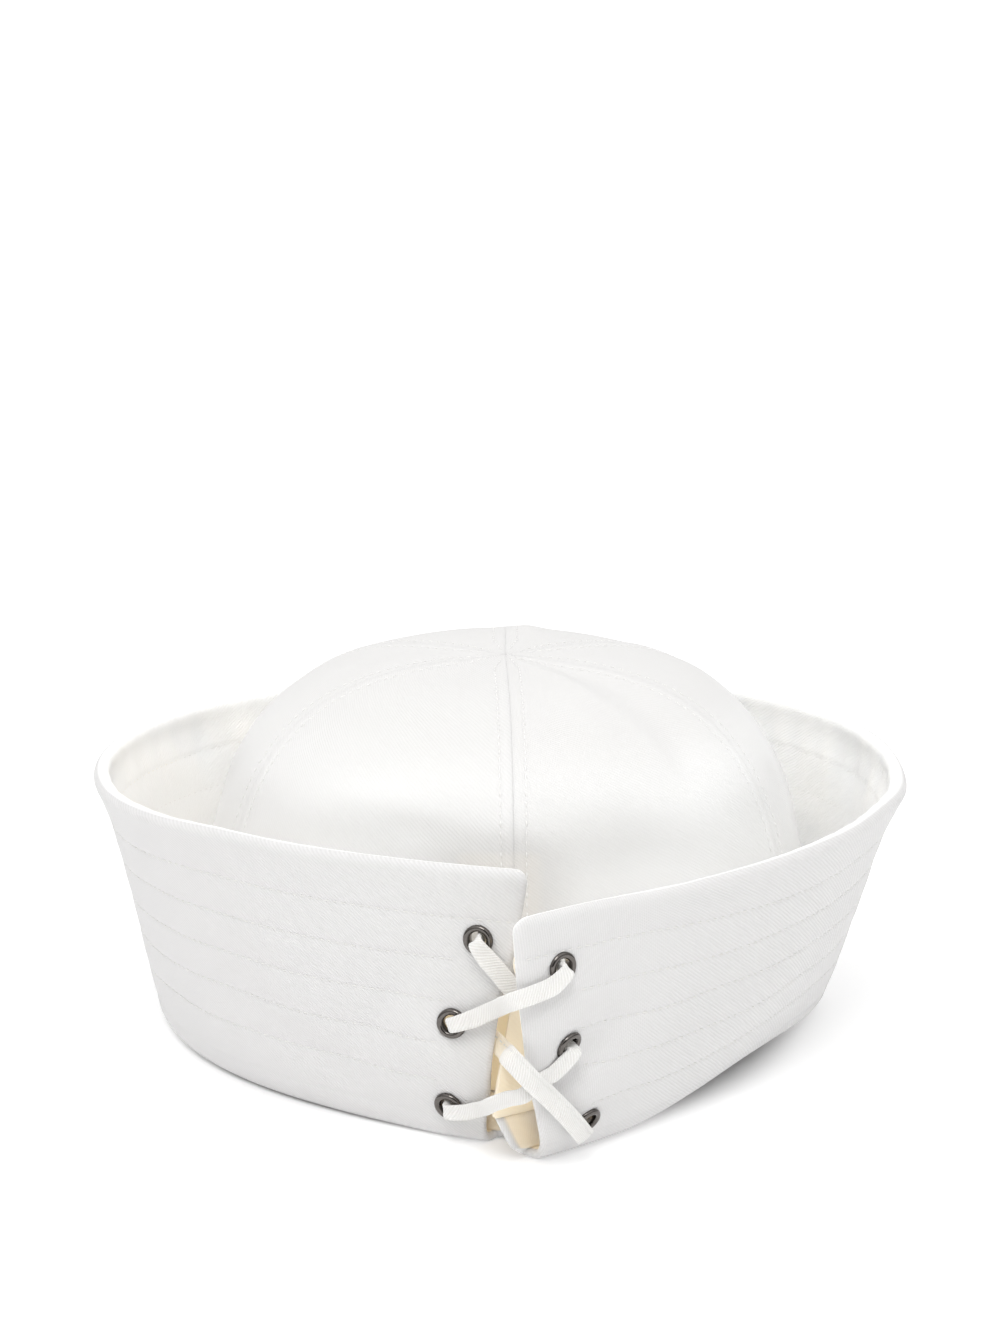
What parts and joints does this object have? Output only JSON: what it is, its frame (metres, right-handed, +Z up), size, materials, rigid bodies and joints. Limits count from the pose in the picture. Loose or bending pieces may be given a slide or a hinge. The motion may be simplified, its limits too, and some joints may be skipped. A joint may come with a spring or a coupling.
{
  "type": "sailor cap",
  "caption": "White cotton sailor cap: a domed panelled crown inside a tall turned-up brim, open at the front and laced through metal eyelets.",
  "frame": {"origin": "middle of the cap's bounding box, on the surface it stands on", "axes": "+Z up; the laced front faces -Y"},
  "size_m": [0.228, 0.2446, 0.1098],
  "materials": {
    "white_cotton_drill": "white cotton drill, matt, fine diagonal twill",
    "white_cotton_tape": "folded white cotton tape",
    "gunmetal_plate": "dark gunmetal plating, polished"
  },
  "bodies": {
    "root": {"brim": "white_cotton_drill", "crown_panel_front_left": "white_cotton_drill", "crown_panel_side_left": "white_cotton_drill", "crown_panel_back_left": "white_cotton_drill", "crown_panel_back_right": "white_cotton_drill", "crown_panel_side_right": "white_cotton_drill", "crown_panel_front_right": "white_cotton_drill", "eyelet_left_top": "gunmetal_plate", "eyelet_left_middle": "gunmetal_plate", "eyelet_left_bottom": "gunmetal_plate", "eyelet_right_top": "gunmetal_plate", "eyelet_right_middle": "gunmetal_plate", "eyelet_right_bottom": "gunmetal_plate", "lace": "white_cotton_tape"}
  },
  "joints": []
}
